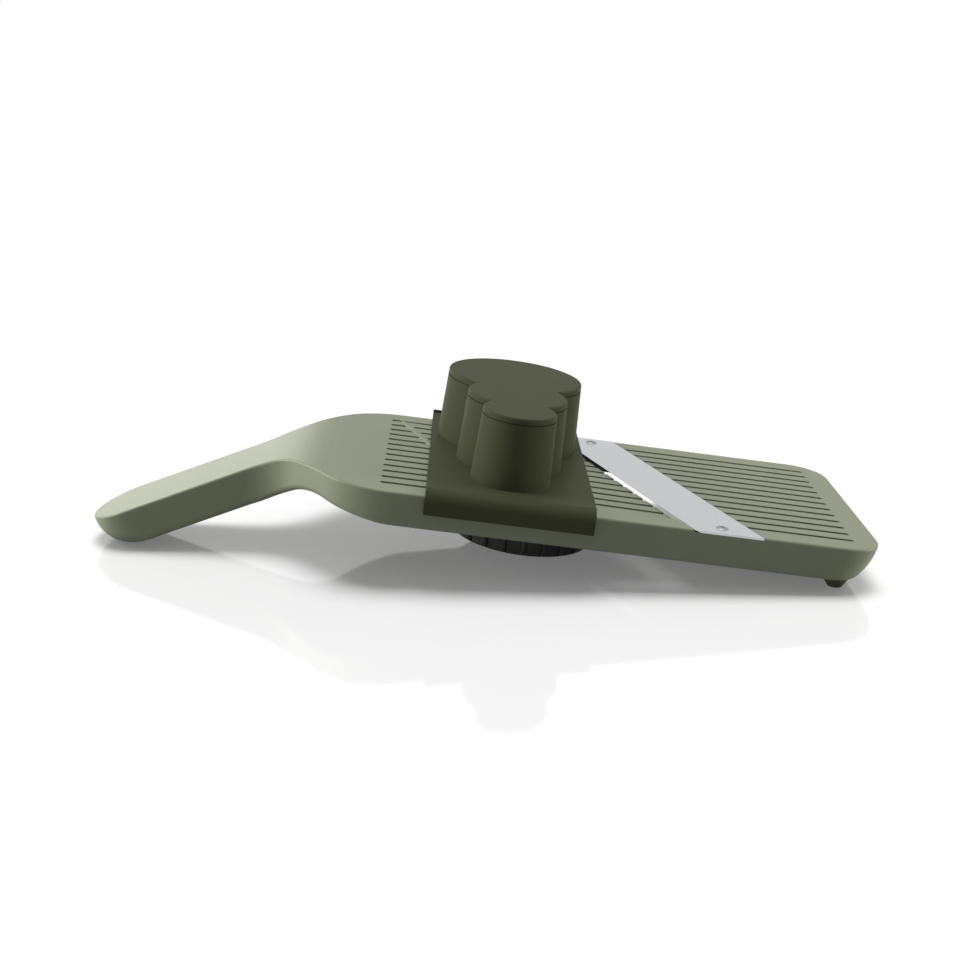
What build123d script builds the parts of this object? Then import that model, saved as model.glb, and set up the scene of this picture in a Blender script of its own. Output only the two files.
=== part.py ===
from build123d import *

import os
from math import asin, cos, degrees, hypot, radians, sin, tan

# A hand-held mandoline slicer. Sizes are millimetres and degrees.
#
# Two frames are used. In the PLATE frame u (local X) runs along the plate to its out-feed end, v (local Y)
# runs across it and w (local Z) stands out of its top face, which is w = 0. In the object's own frame the
# slicer stands on the plane Z = 0, X runs to the out-feed end, and the origin is under its middle.

# ---- plate ----
PLATE_TILT = 6.565          # the out-feed end is the lower one
PLATE_HALF = 65.0           # half the plate's width
PLATE_END = 188.3           # from the plate frame's origin to the out-feed end
PLATE_CORNER = 18.0         # plan radius of the two out-feed corners
PLATE_DEPTH = 16.0          # height of the side walls
DECK = 3.0                  # thickness of the deck
WALL = 3.0                  # thickness of the side walls
BOTTOM_ROUND = 2.5          # rounding of the lower edges
TOP_ROUND = 1.0             # rounding around the top face
END_LEAN = 5.0              # the end wall starts this far off upright ...
END_RUNOUT = 46.0           # ... and meets the underside at this angle
END_BLOCK = 22.0            # solid length at the out-feed end, which holds the front feet
END_MISMATCH = 0.001        # widest gap that is closed where an end meets the housing's middle

# ---- handle, in its own frame: s up along it to the bend, t out of its top face ----
BEND_AT = -77.5             # where the planes of plate and handle meet
BEND_ANGLE = 27.3
BEND_RADIUS = 53.0
HANDLE_LENGTH = 108.0       # from the bend to the tip
HANDLE_HALF = 21.0
HANDLE_DEPTH = 17.3
HANDLE_LEAN = -11.0         # its end wall bulges out before it sweeps in
HANDLE_RUNOUT = 15.0
NOSE_FLAT = 1.0             # straight piece across its tip
SOLE_CUT = 0.2              # the lowest part of its end is cut off level by this much
CAVITY_BACK = 16.0          # the plate's hollow ends this far from the bend
NECK_AT = -86.4             # the plan widens from the handle here ...
SHOULDER_AT = -50.8         # ... to the plate's full width here
NECK_RADIUS = 31.0
SHOULDER_RADIUS = 38.0
ARCH_FOOT_AT = -34.5        # the underside's arch leaves the plate's underside here
ARCH_CREST = (-68.5, -11.4)  # its highest corner before rounding
ARCH_JOIN = 25.0            # it joins the handle's underside this far from the bend
ARCH_RADII = (60.0, 22.0, 60.0)
HULL_LENGTH = 40.0          # length of each rounded end piece of the housing

# ---- handle cover ----
COVER_START = 24.0          # from the bend
COVER_LENGTH = 59.0
COVER_HALF = 15.0
COVER_THICK = 2.4
COVER_GAP = 0.15
COVER_LEDGE = 1.8
COVER_SCREW_INSET = 8.0

# ---- feet ----
STANDOFF = 0.5              # the handle's sole above the table
HANDLE_FOOT_BACK = 9.9      # from the tip, along the handle
HANDLE_FOOT_LENGTH = 6.0
HANDLE_FOOT_WIDTH = 15.0
HANDLE_FOOT_CORNER = 2.5
HANDLE_FOOT_SINK = 4.0      # depth of its pocket
FRONT_FOOT_BACK = 16.8      # from the out-feed end
FRONT_FOOT_INSET = 14.4     # from the plate's sides
FRONT_FOOT_TOP = 5.7        # radius against the underside
FRONT_FOOT_BOTTOM = 3.4     # radius on the table
FRONT_FOOT_ROUND = 3.6      # height of its rounded lower part
FRONT_FOOT_PLUG = 3.4
FRONT_FOOT_SINK = 5.0
FOOT_GAP = 0.05

# ---- grooves ----
GROOVE_PITCH = 8.74
GROOVE_COUNT = 13
GROOVE_WIDTH = 2.4
GROOVE_DEPTH = 0.9
GROOVE_START = -38.0
GROOVE_END = 176.0

# ---- blade and hinge, both skewed to the plate. Distances with _AT are along u on the centre line ----
SKEW = 23.0
HINGE_AT = -10.1
CUT_AT = 74.0
BLADE_WIDTH = 28.5
BLADE_THICK = 1.0
BLADE_BEVEL = 2.6
BLADE_EDGE = 0.08           # thickness left at the cutting edge
BLADE_GAP = 0.2
BLADE_OVERHANG = 8.0        # the cutting edge stands this far ahead of the deck
BLADE_SCREW_INSET = 7.0     # from the plate's sides
BLADE_SCREW_BACK = 15.0     # from the cutting edge
SLOT_HALF = 57.0            # half length of the open slot ahead of the blade
SLOT_LEAD = 1.8             # the slot's own width ahead of the cutting edge
EXIT_LIP = 0.6              # thickness of the deck's edge under the blade
SLOT_GAP = 1.2              # between ramp and cutting edge

# ---- ramp ----
RAMP_THICK = 2.6
RAMP_SIDE_GAP = 1.4
RAMP_REST_DROP = 1.2        # the free edge lies this far below the cutting edge
BARREL_RADIUS = 2.0
BARREL_RISE = 0.3           # its top stands this far above the deck
BARREL_GAP = 0.3
PIN_RADIUS = 0.9
PIN_GAP = 0.05
PIN_SEAT = 5.0              # length held in the housing at each end
PIN_BOSS = 3.4              # radius of the material around the pin's seats
RIB_THICK = 2.0
RIB_DEPTH = 3.0
RAMP_RIB_OUT = 46.0
HINGE_RIB = 3.4

# ---- thickness dial ----
DIAL_AT = 31.2              # u of its axis, which crosses the centre line
DIAL_RADIUS = 34.6          # over the grip ribs
DIAL_BOTTOM = -33.7         # w of its lower face
DIAL_RIB_COUNT = 22
DIAL_RIB_RADIUS = 1.4
DIAL_ROUND = 3.0
DIAL_WALL = 2.6
DIAL_FLOOR = 3.0
DIAL_BACK = 62.0            # turn from rest to the closed setting
DIAL_ON = 238.0             # turn from rest to the thickest setting
DIAL_PER_TILT = 70.0        # degrees of dial for one degree of ramp
FACE_GAP = 0.3              # between faces that turn past each other
BEARING_RADIUS = 7.0
BEARING_GAP = 0.05
DRIVE_RADIUS = 4.6
DRIVE_FLAT = 3.4
CAM_RADIUS = 24.0
CAM_BORE = 18.0
CAM_FLOOR = 2.6
CAM_LIP = 1.0               # material above and below the helical groove
CAM_HUB = 8.0
CAM_HUB_RISE = 2.7          # above the drum's floor
DRIVE_SHORT = 0.6           # the shaft ends below the hub's top
GROOVE_ROOT = 3.6           # depth of the helical groove
FOLLOWER_RADIUS = 1.3
FOLLOWER_REACH = 2.2        # how far it reaches into the groove
FOLLOWER_W = -10.8          # with the ramp level
POST_GAP = 1.9              # between drum and post
POST_THICK = 3.4
POST_WIDTH = 7.0
POST_TOE = 2.2              # below the follower's axis
SEAT_GAP = 0.02             # round pins that are pressed in

# ---- carrier ----
CARRIER_HALF = 15.0         # half width of its arms
CARRIER_THICK = 2.5
CARRIER_TOP = -10.5
CARRIER_END_GAP = 0.5
DISH_RADIUS = 30.3
DISH_WALL = 2.0
DISH_FLOOR = 2.4
BOSS_RADIUS = 3.4
CARRIER_SCREW_INSET = 7.4   # from the plate's sides
CARRIER_SCREW_SPREAD = 9.0

# ---- guard ----
GUARD_START = -17.5
GUARD_END = 57.6
GUARD_TOP = 3.4
GUARD_RELIEF = 1.15         # its underside clears the blade's screws
GUARD_RUNNER = 4.2
GUARD_LIFT = 0.05
SKIRT_GAP = 0.4
SKIRT_THICK = 2.4
SKIRT_DEPTH = 7.7           # below the plate's top face
FOLD_NEAR = 6.0             # rounding of the near rail's outer edge
FOLD_FAR = 0.5
LIP_RISE = 1.1              # lip along the far rail's outer edge
LIP_THICK = 1.0
TOWER_AT = 20.1             # u of the three lobes
LOBES = ((-36.2, 16.8), (-7.2, 23.4), (32.0, 32.9))  # v and radius at the rim
TOWER_RIM = 33.5
TOWER_DRAFT = 2.8
TOWER_WALL = 2.2
TUBE_DRAFT = 1.0
GUARD_BACK = 20.0           # travel from rest towards the handle
GUARD_ON = 115.0            # travel from rest past the blade

# ---- pusher ----
CAP_THICK = 3.0
CAP_ROUND = 0.9
CAP_SEAM = 0.5
CAP_SEAM_INSET = 0.7
PLUNGER_GAP = 0.6
PLUNGER_WALL = 1.8
PLUNGER_FLOOR = 3.0
PLUNGER_BOTTOM = 4.6
SPIKE_RADIUS = 0.8
SPIKE_LENGTH = 2.7
SPIKE_POINT = 1.2
SPIKE_TIP = 0.1
SPIKE_HOLD = 2.2
SPIKE_PITCH = 12.5
SPIKE_MARGIN = 4.5

# ---- screws: shank radius, head radius, head height, length below the head ----
SCREW_PLAY = 0.15
BLADE_SCREW = (1.25, 2.5, 0.85, 7.2)
CARRIER_SCREW = (1.25, 2.6, 1.9, 9.0)
COVER_SCREW = (1.25, 2.4, 1.2, 9.0)
DIAL_SCREW = (1.5, 2.9, 2.0, 13.0)
PUSHER_SCREW = (1.25, 2.6, 1.6, 10.0)
DRIVER_RADIUS = 0.95
DRIVER_DEPTH = 0.5
THREAD_GAP = 0.02           # a screw in its hole, drawn without threads
SCREW_END_GAP = 0.4
WASHER_RADIUS = 6.0
WASHER_THICK = 0.8
INSERT_RADIUS = 2.2
INSERT_LENGTH = 6.0
INSERT_SINK = 0.5

# ---- sizes that follow from those above ----
FAR = 400.0
FULL_TURN = 360.0
HINGE_W = BARREL_RISE - BARREL_RADIUS
SKEWED = Rotation(0, 0, SKEW)            # its X stands square to blade and hinge, its Y runs along them
HINGE_N = HINGE_AT * cos(radians(SKEW))
CUT_N = CUT_AT * cos(radians(SKEW))
RAMP_REACH = CUT_N - HINGE_N
REST_TILT = degrees(asin(RAMP_REST_DROP / RAMP_REACH))
RAMP_END_N = CUT_N - SLOT_GAP
RAMP_HALF = (GROOVE_COUNT - 1) / 2 * GROOVE_PITCH - RAMP_SIDE_GAP / 2
WINDOW_HALF = RAMP_HALF + RAMP_SIDE_GAP
FOLLOWER_N = (DIAL_AT * cos(radians(SKEW)) - HINGE_N) + CAM_RADIUS - FOLLOWER_REACH / 2
CAM_TOP = FOLLOWER_W + FOLLOWER_RADIUS + FACE_GAP + CAM_LIP
FOLLOWER_TRAVEL = FOLLOWER_N * sin(radians((DIAL_BACK + DIAL_ON) / DIAL_PER_TILT))
CAM_BOTTOM = FOLLOWER_W - FOLLOWER_TRAVEL - FOLLOWER_RADIUS - FACE_GAP - CAM_LIP
DISH_TOP_FACE = CAM_BOTTOM - FACE_GAP
DISH_BOTTOM = DISH_TOP_FACE - DISH_FLOOR
DIAL_TOP = DISH_BOTTOM - FACE_GAP
CAM_HUB_TOP = CAM_BOTTOM + CAM_FLOOR + CAM_HUB_RISE
FRONT_FOOT_AT = PLATE_END - FRONT_FOOT_BACK
FRONT_FOOT_OUT = PLATE_HALF - FRONT_FOOT_INSET
HANDLE_FOOT_AT = HANDLE_LENGTH - HANDLE_FOOT_BACK
CARRIER_SCREW_OUT = PLATE_HALF - CARRIER_SCREW_INSET
BLADE_SCREW_OUT = PLATE_HALF - BLADE_SCREW_INSET
SKIRT_INNER = PLATE_HALF + SKIRT_GAP
GUARD_HALF = SKIRT_INNER + SKIRT_THICK
RAIL_INNER = SKIRT_INNER - GUARD_RUNNER
BLADE_BACK_N = CUT_N + BLADE_WIDTH

HANDLE_FRAME = Location((BEND_AT, 0, 0)) * Rotation(0, -BEND_ANGLE, 0)


def bow_radius(depth, lean, runout):
    """Radius of an end wall's arc, from its two end angles."""
    return depth / (cos(radians(runout)) - sin(radians(lean)))


def bow(depth, lean, runout, steps=5):
    """Retreat and depth along an end wall: an arc that starts off upright and runs out off level."""
    start, stop = radians(90 - lean), radians(runout)
    radius = bow_radius(depth, lean, runout)
    angles = [start + (stop - start) * i / (steps - 1) for i in range(steps)]
    return [(radius * (sin(start) - sin(a)), radius * (cos(a) - cos(start))) for a in angles]


def handle_point(s, t):
    """u and w of a point of the handle's frame."""
    turn = radians(BEND_ANGLE)
    return (BEND_AT + s * cos(turn) - t * sin(turn), s * sin(turn) + t * cos(turn))


def handle_reach(u, w):
    """s of a point of the plate frame."""
    turn = radians(BEND_ANGLE)
    return (u - BEND_AT) * cos(turn) + w * sin(turn)


def lowest_point():
    """Height of the lowest point of the handle's end arc, once the plate is tilted."""
    radius = bow_radius(HANDLE_DEPTH, HANDLE_LEAN, HANDLE_RUNOUT)
    lean = radians(HANDLE_LEAN)
    u, w = handle_point(-HANDLE_LENGTH + radius * cos(lean), radius * sin(lean))
    tilt = radians(PLATE_TILT)
    return -u * sin(tilt) + w * cos(tilt) - radius


PLATE_HEIGHT = STANDOFF - SOLE_CUT - lowest_point()


def tilt_up(shape):
    """From the plate frame to the table, before the origin is centred."""
    return Location((0, 0, PLATE_HEIGHT)) * Rotation(0, PLATE_TILT, 0) * shape


# ---- helpers ----
def block(x0, x1, y0, y1, z0, z1):
    return Location(((x0 + x1) / 2, (y0 + y1) / 2, (z0 + z1) / 2)) * Box(x1 - x0, y1 - y0, z1 - z0)


def drum(radius, low, high, x=0.0, y=0.0):
    """Upright cylinder between two heights."""
    return Location((x, y, (low + high) / 2)) * Cylinder(radius, high - low)


def skew_band(n0, n1, half, w0, w1):
    """Block between two lines along the blade, with its ends cut square to the plate at v = -half, half."""
    return (SKEWED * block(n0, n1, -FAR / 2, FAR / 2, w0, w1)) & block(-FAR, FAR, -half, half, w0, w1)


def skew_rod(radius, n, w, half):
    """Rod along the blade, ending at v = -half and half."""
    rod = SKEWED * Location((n, 0, w)) * Rotation(90, 0, 0) * Cylinder(radius, FAR)
    return rod & block(-FAR, FAR, -half, half, w - 2 * radius, w + 2 * radius)


def on_skew_line(n, v):
    """u of the point at v on the line along the blade that lies n from the origin."""
    return n / cos(radians(SKEW)) - v * tan(radians(SKEW))


def groove(u0, u1, v, floor):
    """Cutter of one groove, whose round ends lie at u0 and u1."""
    plan = Location(((u0 + u1) / 2, v, floor)) * SlotOverall(u1 - u0, GROOVE_WIDTH)
    return extrude(plan, GROOVE_DEPTH + 1)


def groove_lines():
    middle = (GROOVE_COUNT - 1) / 2
    return [(i - middle) * GROOVE_PITCH for i in range(GROOVE_COUNT)]


def lobed(radii_at, low, high, draft, rounding=0.0):
    """Three overlapping drafted drums. Each radius is the one at the rim, and grows downwards."""
    parts = []
    for (v, _), radius in zip(LOBES, radii_at):
        top = radius - (high - TOWER_RIM) * tan(radians(draft))
        bottom = radius - (low - TOWER_RIM) * tan(radians(draft))
        if draft:
            lobe = Cone(bottom, top, high - low)
        else:
            lobe = Cylinder(radius, high - low)
        if rounding:
            lobe = fillet(lobe.edges().group_by(Axis.Z)[-1], rounding)
        parts.append(Location((TOWER_AT, v, (low + high) / 2)) * lobe)
    return parts[0] + parts[1] + parts[2]


def rim_radii(inset):
    return [radius - inset for _, radius in LOBES]


def pan_screw(size, driver=True):
    """Screw that hangs from the origin: its head above, its shank below."""
    shank, head, height, length = size
    dome = (head ** 2 + height ** 2) / (2 * height)
    cap = (Location((0, 0, height - dome)) * Sphere(dome)) & drum(head, 0, height)
    screw = cap + drum(shank, -length, 0)
    if driver:
        cut = extrude(Plane.XY.offset(height - DRIVER_DEPTH) * RegularPolygon(DRIVER_RADIUS, 6), 1)
        screw -= cut
    return screw


def below_level(height):
    """Everything lower than the given height above the table, in the plate frame."""
    top = height - PLATE_HEIGHT
    return Rotation(0, -PLATE_TILT, 0) * block(-FAR, FAR, -FAR, FAR, top - FAR, top)


# ---- housing ----
def end_hull(length, half, corner, path):
    """Boat-shaped end. The outline keeps its shape and moves inwards along the path as it goes down."""
    sections = []
    for retreat, down in path:
        end = length - retreat
        edges = [
            Line((0, -half), (end - corner, -half)),
            RadiusArc((end - corner, -half), (end, corner - half), -corner),
            Line((end, corner - half), (end, half - corner)),
            RadiusArc((end, half - corner), (end - corner, half), -corner),
            Line((end - corner, half), (0, half)),
            Line((0, half), (0, -half)),
        ]
        sections.append(Location((0, 0, -down)) * make_face(Curve() + edges))
    hull = loft(sections)
    depth = path[-1][1]
    rim = [e for e in hull.edges() if abs(e.center().Z + depth) < 0.05 and e.center().X > 0.5]
    return fillet(rim, BOTTOM_ROUND)


def side_profile(inset, back, front, underside):
    """Side view of the housing: its top line, lowered by the inset, and the given underside."""
    start = handle_point(-back, -inset)
    turn = radians(BEND_ANGLE)
    bend = (BEND_AT + inset * tan(turn / 2), -inset)
    top = FilletPolyline([start, bend, (front, -inset)], radius=BEND_RADIUS - inset)
    rest = [Line((front, -inset), underside.position_at(1)), Line(underside.position_at(0), start)]
    face = make_face(Curve() + [*top.edges(), *underside.edges(), *rest])
    return extrude(Plane.XZ * face, FAR / 2, both=True)


def arch_line(back, front):
    """The underside, from the handle over the arch to the plate."""
    start = handle_point(-back, -HANDLE_DEPTH)
    join = handle_point(-ARCH_JOIN, -HANDLE_DEPTH)
    points = [start, join, ARCH_CREST, (ARCH_FOOT_AT, -PLATE_DEPTH), (front, -PLATE_DEPTH)]
    return FilletPolyline(points, radius=list(reversed(ARCH_RADII)))


def plan_face(inset, start, front):
    """Plan of the housing between the handle and the out-feed end."""
    side = [(start, HANDLE_HALF), (NECK_AT, HANDLE_HALF), (SHOULDER_AT, PLATE_HALF), (front, PLATE_HALF)]
    near = FilletPolyline([(u, -v) for u, v in side], radius=[NECK_RADIUS, SHOULDER_RADIUS])
    far = FilletPolyline(side, radius=[NECK_RADIUS, SHOULDER_RADIUS])
    ends = [
        Line((start, -HANDLE_HALF), (start, HANDLE_HALF)),
        Line((front, -PLATE_HALF), (front, PLATE_HALF)),
    ]
    face = make_face(Curve() + [*near.edges(), *far.edges(), *ends])
    return offset(face, -inset) if inset else face


def top_depth(point):
    """Depth of a point under the top line of the side view."""
    turn = radians(BEND_ANGLE)
    reach = BEND_RADIUS * tan(turn / 2)
    if point.X > BEND_AT + reach:
        return -point.Z
    if handle_reach(point.X, point.Z) < -reach:
        return (point.X - BEND_AT) * sin(turn) - point.Z * cos(turn)
    return BEND_RADIUS - hypot(point.X - BEND_AT - reach, point.Z + BEND_RADIUS)


def top_rim(skin):
    """Edges around the top face, without the seams that cross it from side to side."""
    rim = []
    for edge in skin.edges():
        middle = edge.center()
        at_front = middle.X > PLATE_END - TOP_ROUND
        at_end = at_front or handle_reach(middle.X, middle.Z) < TOP_ROUND - HANDLE_LENGTH
        crosses = abs((edge @ 0).Y + (edge @ 1).Y) < 0.01 and not at_end
        on_top = all(abs(top_depth(edge @ share)) < 0.02 for share in (0.05, 0.5, 0.95))
        if on_top and not crosses:
            rim.append(edge)
    return rim


def housing_skin():
    back = HANDLE_LENGTH - HULL_LENGTH
    front = PLATE_END - HULL_LENGTH
    start = BEND_AT - HANDLE_LENGTH
    middle = side_profile(0, back, front, arch_line(back, front))
    middle &= extrude(plan_face(0, start, front), FAR / 2, both=True)
    lower = []
    for edge in middle.edges():
        p = edge.center()
        top = 0 if p.X > BEND_AT else (p.X - BEND_AT) * tan(radians(BEND_ANGLE))
        at_cut = abs(p.X - front) < 0.1 or abs(handle_reach(p.X, p.Z) + back) < 0.1
        if p.Z < top - DECK and abs(p.Y) > 1 and not at_cut:
            lower.append(edge)
    middle = fillet(lower, BOTTOM_ROUND)
    out_feed = end_hull(HULL_LENGTH, PLATE_HALF, PLATE_CORNER, bow(PLATE_DEPTH, END_LEAN, END_RUNOUT))
    nose = HANDLE_HALF - NOSE_FLAT / 2
    grip = end_hull(HULL_LENGTH, HANDLE_HALF, nose, bow(HANDLE_DEPTH, HANDLE_LEAN, HANDLE_RUNOUT))
    out_feed = Location((front, 0, 0)) * out_feed
    grip = HANDLE_FRAME * Location((-back, 0, 0)) * Rotation(0, 0, 180) * grip
    skin = middle.fuse(out_feed, grip, tol=END_MISMATCH)
    skin = fillet(top_rim(skin), TOP_ROUND)
    return skin - below_level(STANDOFF)


def plate_cavity():
    """Hollow under the deck, open below, which ends in a solid block at each end."""
    front = PLATE_END - END_BLOCK
    floor = -2 * HANDLE_DEPTH - PLATE_DEPTH
    below = Line(handle_point(-CAVITY_BACK, floor), (front, floor))
    room = side_profile(DECK, CAVITY_BACK, front, below)
    plan = plan_face(WALL, BEND_AT - HANDLE_LENGTH, PLATE_END + WALL)
    return room & extrude(plan, FAR / 2, both=True)


def ramp_window():
    """Opening for the ramp, the round trough of its hinge, and the wider slot under the cutting edge."""
    window = skew_band(HINGE_N, CUT_N + BLADE_OVERHANG, WINDOW_HALF, -PLATE_DEPTH, FAR)
    trough = skew_rod(BARREL_RADIUS + BARREL_GAP, HINGE_N, HINGE_W, WINDOW_HALF)
    slot = skew_band(CUT_N - SLOT_LEAD, CUT_N + BLADE_OVERHANG, SLOT_HALF, -PLATE_DEPTH, FAR)
    return window + trough + slot


def blade_seat():
    return skew_band(CUT_N - BLADE_GAP, BLADE_BACK_N + BLADE_GAP, FAR / 4, -BLADE_THICK, FAR)


def exit_bevel():
    """Slope under the deck's edge, where the slices leave."""
    n0 = CUT_N + BLADE_OVERHANG
    lip = -BLADE_THICK - EXIT_LIP
    corners = [(n0 - 1, lip), (n0, lip), (n0 + DECK, -DECK - 1), (n0 - 1, -DECK - 1)]
    wedge = extrude(Plane.XZ * make_face(Polyline(*corners, close=True)), FAR / 2, both=True)
    return (SKEWED * wedge) & block(-FAR, FAR, -SLOT_HALF, SLOT_HALF, -2 * DECK, 0)


def hinge_rib():
    """Rib that backs the hinge's trough."""
    return skew_band(
        HINGE_N - BARREL_RADIUS - BARREL_GAP - HINGE_RIB,
        HINGE_N,
        PLATE_HALF - WALL,
        HINGE_W - BARREL_RADIUS - HINGE_RIB,
        -DECK,
    )


def pin_bosses():
    """Half-round bosses under the deck that hold the ends of the hinge pin."""
    rod = skew_rod(PIN_BOSS, HINGE_N, HINGE_W, WINDOW_HALF + PIN_SEAT + 1)
    return rod & block(-FAR, FAR, -FAR, FAR, -FAR, HINGE_W + PIN_RADIUS / 2)


def deck_ribs():
    """Shallow ribs under the out-feed deck, along the slices' way."""
    ribs = []
    for v in (-2 * GROOVE_PITCH, 2 * GROOVE_PITCH):
        start, end = on_skew_line(BLADE_BACK_N, v), PLATE_END - END_BLOCK
        ribs.append(block(start, end, v - RIB_THICK / 2, v + RIB_THICK / 2, -DECK - RIB_DEPTH, -DECK))
    return ribs


def deck_grooves():
    cutters = []
    for v in groove_lines():
        hinge = on_skew_line(HINGE_N - BARREL_RADIUS, v)
        cutters.append(groove(GROOVE_START, hinge + GROOVE_WIDTH / 2, v, -GROOVE_DEPTH))
        behind = on_skew_line(BLADE_BACK_N, v)
        cutters.append(groove(behind - GROOVE_WIDTH, GROOVE_END, v, -GROOVE_DEPTH))
    return cutters


def carrier_screw_places():
    """u and v of the carrier's screws, on the two arms that run along the hinge."""
    places = []
    for v in (-CARRIER_SCREW_OUT, CARRIER_SCREW_OUT):
        middle = DIAL_AT - v * tan(radians(SKEW))
        places += [(middle - CARRIER_SCREW_SPREAD, v), (middle + CARRIER_SCREW_SPREAD, v)]
    return places


def blade_screw_places():
    return [(on_skew_line(CUT_N + BLADE_SCREW_BACK, v), v) for v in (-BLADE_SCREW_OUT, BLADE_SCREW_OUT)]


def cover_screw_places():
    """s of the cover's screws."""
    return [-COVER_START - COVER_SCREW_INSET, -COVER_START - COVER_LENGTH + COVER_SCREW_INSET]


def cover_outline(inset, low, high):
    """Slot-shaped block in the handle's frame, as long and wide as the cover less the inset."""
    middle = -COVER_START - COVER_LENGTH / 2
    plan = Location((middle, 0, low)) * SlotOverall(COVER_LENGTH - 2 * inset, 2 * (COVER_HALF - inset))
    return extrude(plan, high - low)


def handle_pocket():
    seat = cover_outline(-COVER_GAP, -FAR / 8, -HANDLE_DEPTH + COVER_THICK)
    room = cover_outline(COVER_LEDGE, -HANDLE_DEPTH, -WALL)
    bosses = []
    for s in cover_screw_places():
        boss = drum(BOSS_RADIUS, -HANDLE_DEPTH + COVER_THICK, -WALL, s)
        tip = -HANDLE_DEPTH + COVER_SCREW[2] + COVER_SCREW[3]
        pilot = drum(COVER_SCREW[0] + THREAD_GAP, -HANDLE_DEPTH, tip + SCREW_END_GAP, s)
        bosses.append(boss - pilot)
    return HANDLE_FRAME * (seat + (room - bosses[0] - bosses[1]))


def handle_foot_block(gap):
    """The pad that carries the handle, upright on the table, in the plate frame."""
    u, w = handle_point(-HANDLE_FOOT_AT, -HANDLE_DEPTH)
    foot = Location((u, 0, w)) * Rotation(0, -PLATE_TILT, 0)
    plan = RectangleRounded(
        HANDLE_FOOT_LENGTH + 2 * gap, HANDLE_FOOT_WIDTH + 2 * gap, HANDLE_FOOT_CORNER + gap
    )
    return foot * extrude(plan, FAR / 8, both=True)


def handle_foot():
    """Rubber pad. Its top lies flat in a pocket of the handle."""
    above = HANDLE_FRAME * block(-FAR, FAR, -FAR, FAR, -HANDLE_DEPTH + HANDLE_FOOT_SINK, FAR)
    return handle_foot_block(0) - below_level(0) - above


def front_foot(side):
    """Rubber foot with a plug that fills a hole in the underside. Its flank stands upright on the table."""
    v = side * FRONT_FOOT_OUT
    flank = [
        (0, 0),
        (FRONT_FOOT_BOTTOM, 0),
        (FRONT_FOOT_TOP, FRONT_FOOT_ROUND),
        (FRONT_FOOT_TOP, 2 * PLATE_DEPTH),
        (0, 2 * PLATE_DEPTH),
    ]
    dome = revolve(Plane.XZ * make_face(Polyline(*flank, close=True)), Axis.Z)
    lower = [e for e in dome.edges() if abs(e.center().Z - FRONT_FOOT_ROUND) < 0.01]
    dome = fillet(lower, FRONT_FOOT_ROUND / 2)
    base = Location((FRONT_FOOT_AT, v, -PLATE_DEPTH)) * Rotation(0, -PLATE_TILT, 0)
    drop = PLATE_HEIGHT - FRONT_FOOT_AT * sin(radians(PLATE_TILT)) - PLATE_DEPTH * cos(radians(PLATE_TILT))
    foot = base * Location((0, 0, -drop)) * dome
    foot &= block(-FAR, FAR, -FAR, FAR, -FAR, -PLATE_DEPTH)
    return foot + drum(FRONT_FOOT_PLUG, -PLATE_DEPTH, -PLATE_DEPTH + FRONT_FOOT_SINK, FRONT_FOOT_AT, v)


def foot_pockets():
    sink = -PLATE_DEPTH + FRONT_FOOT_SINK
    plug = FRONT_FOOT_PLUG + FOOT_GAP
    pockets = [drum(plug, -FAR / 8, sink, FRONT_FOOT_AT, side * FRONT_FOOT_OUT) for side in (-1, 1)]
    below = HANDLE_FRAME * block(-FAR, FAR, -FAR, FAR, -FAR / 4, -HANDLE_DEPTH + HANDLE_FOOT_SINK)
    return pockets + [handle_foot_block(FOOT_GAP) & below]


def body():
    housing = housing_skin() - plate_cavity()
    housing = housing + hinge_rib() + pin_bosses() + deck_ribs()
    for u, v in carrier_screw_places():
        housing += drum(BOSS_RADIUS, CARRIER_TOP, -DECK, u, v)
    for u, v in blade_screw_places():
        housing += drum(BOSS_RADIUS, -BLADE_THICK - INSERT_SINK - INSERT_LENGTH - 1, -DECK, u, v)
    housing = housing - ramp_window() - blade_seat() - exit_bevel() - deck_grooves()
    for u, v in carrier_screw_places():
        shank = CARRIER_SCREW[0] + THREAD_GAP
        tip = CARRIER_TOP - CARRIER_THICK + CARRIER_SCREW[3]
        housing -= drum(shank, CARRIER_TOP - 1, tip + SCREW_END_GAP, u, v)
    for u, v in blade_screw_places():
        bottom = -BLADE_THICK - INSERT_SINK - INSERT_LENGTH
        housing -= drum(INSERT_RADIUS + SEAT_GAP, bottom, 0, u, v)
    housing -= skew_rod(PIN_RADIUS, HINGE_N, HINGE_W, WINDOW_HALF + PIN_SEAT)
    return housing - handle_pocket() - foot_pockets()


def handle_cover():
    cover = cover_outline(0, -HANDLE_DEPTH, -HANDLE_DEPTH + COVER_THICK)
    for s in cover_screw_places():
        cover -= drum(COVER_SCREW[0] + SCREW_PLAY, -FAR / 8, 0, s)
        cover -= drum(COVER_SCREW[1] + SCREW_PLAY, -FAR / 8, -HANDLE_DEPTH + COVER_SCREW[2], s)
    return HANDLE_FRAME * cover


def upside_down(screw):
    return Rotation(180, 0, 0) * screw


def handle_cover_screws():
    seat = -HANDLE_DEPTH + COVER_SCREW[2]
    screw = upside_down(pan_screw(COVER_SCREW))
    return [HANDLE_FRAME * Location((s, 0, seat)) * screw for s in cover_screw_places()]


# ---- blade ----
def blade():
    plate = skew_band(CUT_N, BLADE_BACK_N, PLATE_HALF, -BLADE_THICK, 0)
    bevel = [
        (CUT_N - 1, -BLADE_EDGE),
        (CUT_N, -BLADE_EDGE),
        (CUT_N + BLADE_BEVEL, -BLADE_THICK),
        (CUT_N - 1, -FAR),
    ]
    wedge = extrude(Plane.XZ * make_face(Polyline(*bevel, close=True)), FAR / 2, both=True)
    plate -= SKEWED * wedge
    for u, v in blade_screw_places():
        plate -= drum(BLADE_SCREW[0] + SCREW_PLAY, -FAR / 8, FAR / 8, u, v)
    return plate


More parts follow.
